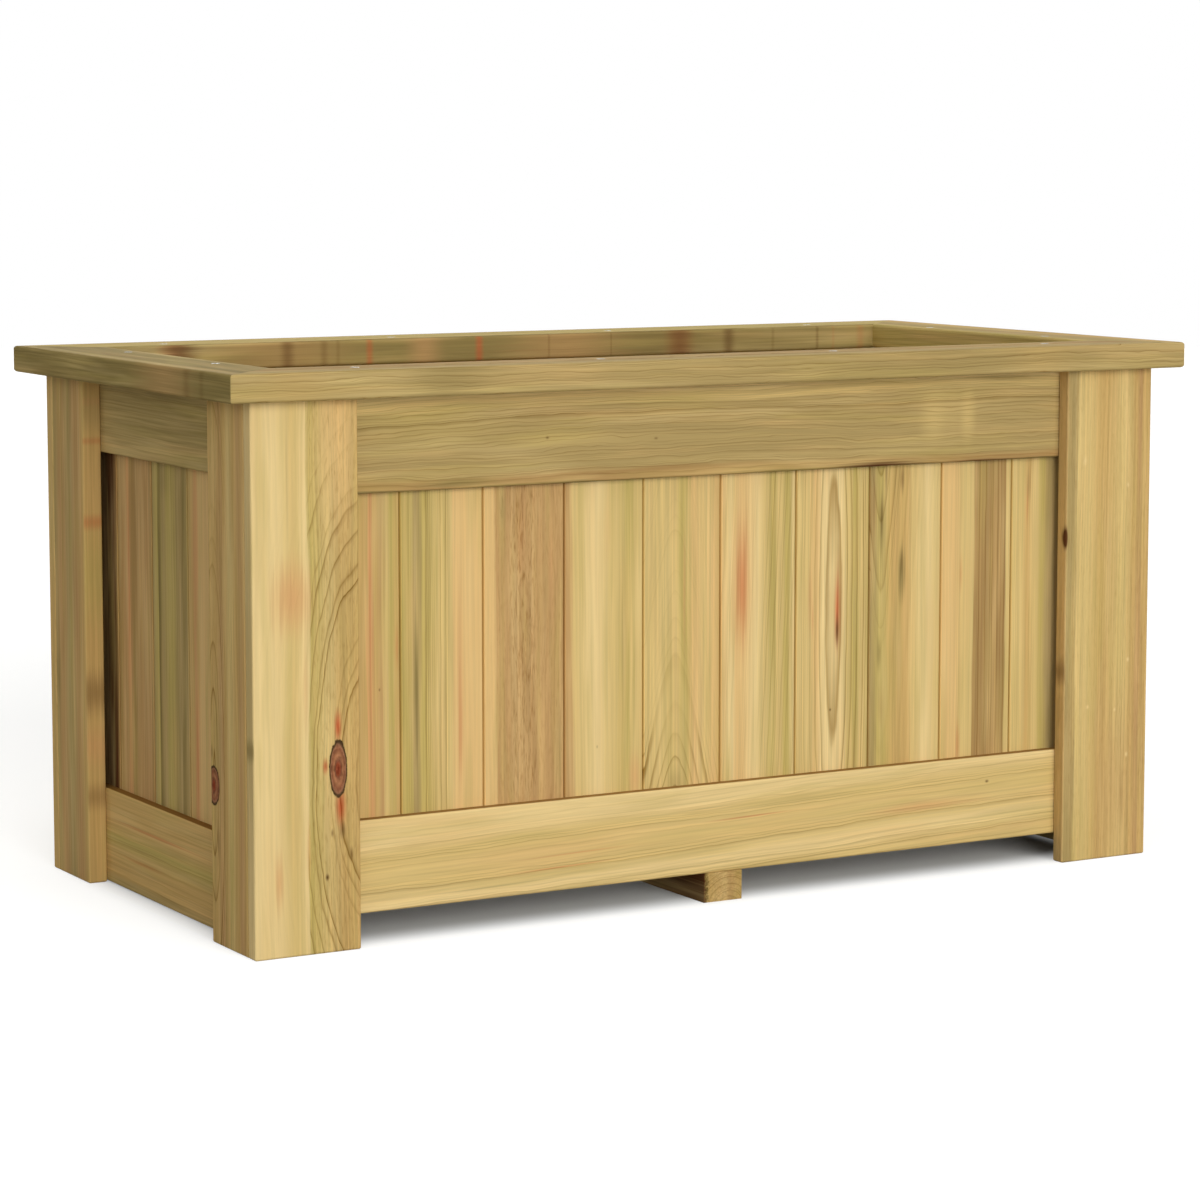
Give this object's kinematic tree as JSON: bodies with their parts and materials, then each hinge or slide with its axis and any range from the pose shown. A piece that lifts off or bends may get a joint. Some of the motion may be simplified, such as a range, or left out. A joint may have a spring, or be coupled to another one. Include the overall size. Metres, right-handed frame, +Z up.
{
  "type": "planter box",
  "caption": "Rectangular wooden planter, open at the top: framed panels of upright tongue-and-groove slats between corner posts, a flat mitred cap and a boarded floor.",
  "frame": {"origin": "on the ground under the middle of the box", "axes": "+X along the length, to the right of someone facing the front; the front faces -Y; +Z up"},
  "size_m": [1, 0.5, 0.5],
  "materials": {
    "pine": "planed, impregnated, matt",
    "galvanised_steel": "zinc plated, dull"
  },
  "bodies": {
    "root": {"back_bottom_rail": "pine", "back_left_corner_batten": "pine", "back_left_post_face_board": "pine", "back_left_post_side_board": "pine", "back_right_corner_batten": "pine", "back_right_post_face_board": "pine", "back_right_post_side_board": "pine", "back_slats": "pine", "back_top_rail": "pine", "cap_back_board": "pine", "cap_front_board": "pine", "cap_left_board": "pine", "cap_right_board": "pine", "cap_screws": "galvanised_steel", "centre_support": "pine", "floor_board_1": "pine", "floor_board_2": "pine", "floor_board_3": "pine", "floor_board_4": "pine", "floor_screws": "galvanised_steel", "frame_screws": "galvanised_steel", "front_bottom_rail": "pine", "front_left_corner_batten": "pine", "front_left_post_face_board": "pine", "front_left_post_side_board": "pine", "front_right_corner_batten": "pine", "front_right_post_face_board": "pine", "front_right_post_side_board": "pine", "front_slat_01": "pine", "front_slat_02": "pine", "front_slat_03": "pine", "front_slat_04": "pine", "front_slat_05": "pine", "front_slat_06": "pine", "front_slat_07": "pine", "front_slat_08": "pine", "front_slat_09": "pine", "front_slat_10": "pine", "front_slat_11": "pine", "front_slat_12": "pine", "front_top_rail": "pine", "left_bottom_rail": "pine", "left_floor_cleat": "pine", "left_slat_1": "pine", "left_slat_2": "pine", "left_slat_3": "pine", "left_slat_4": "pine", "left_slat_5": "pine", "left_top_rail": "pine", "right_bottom_rail": "pine", "right_floor_cleat": "pine", "right_slat_1": "pine", "right_slat_2": "pine", "right_slat_3": "pine", "right_slat_4": "pine", "right_slat_5": "pine", "right_top_rail": "pine", "slat_pins": "galvanised_steel", "support_screws": "galvanised_steel"}
  },
  "joints": []
}
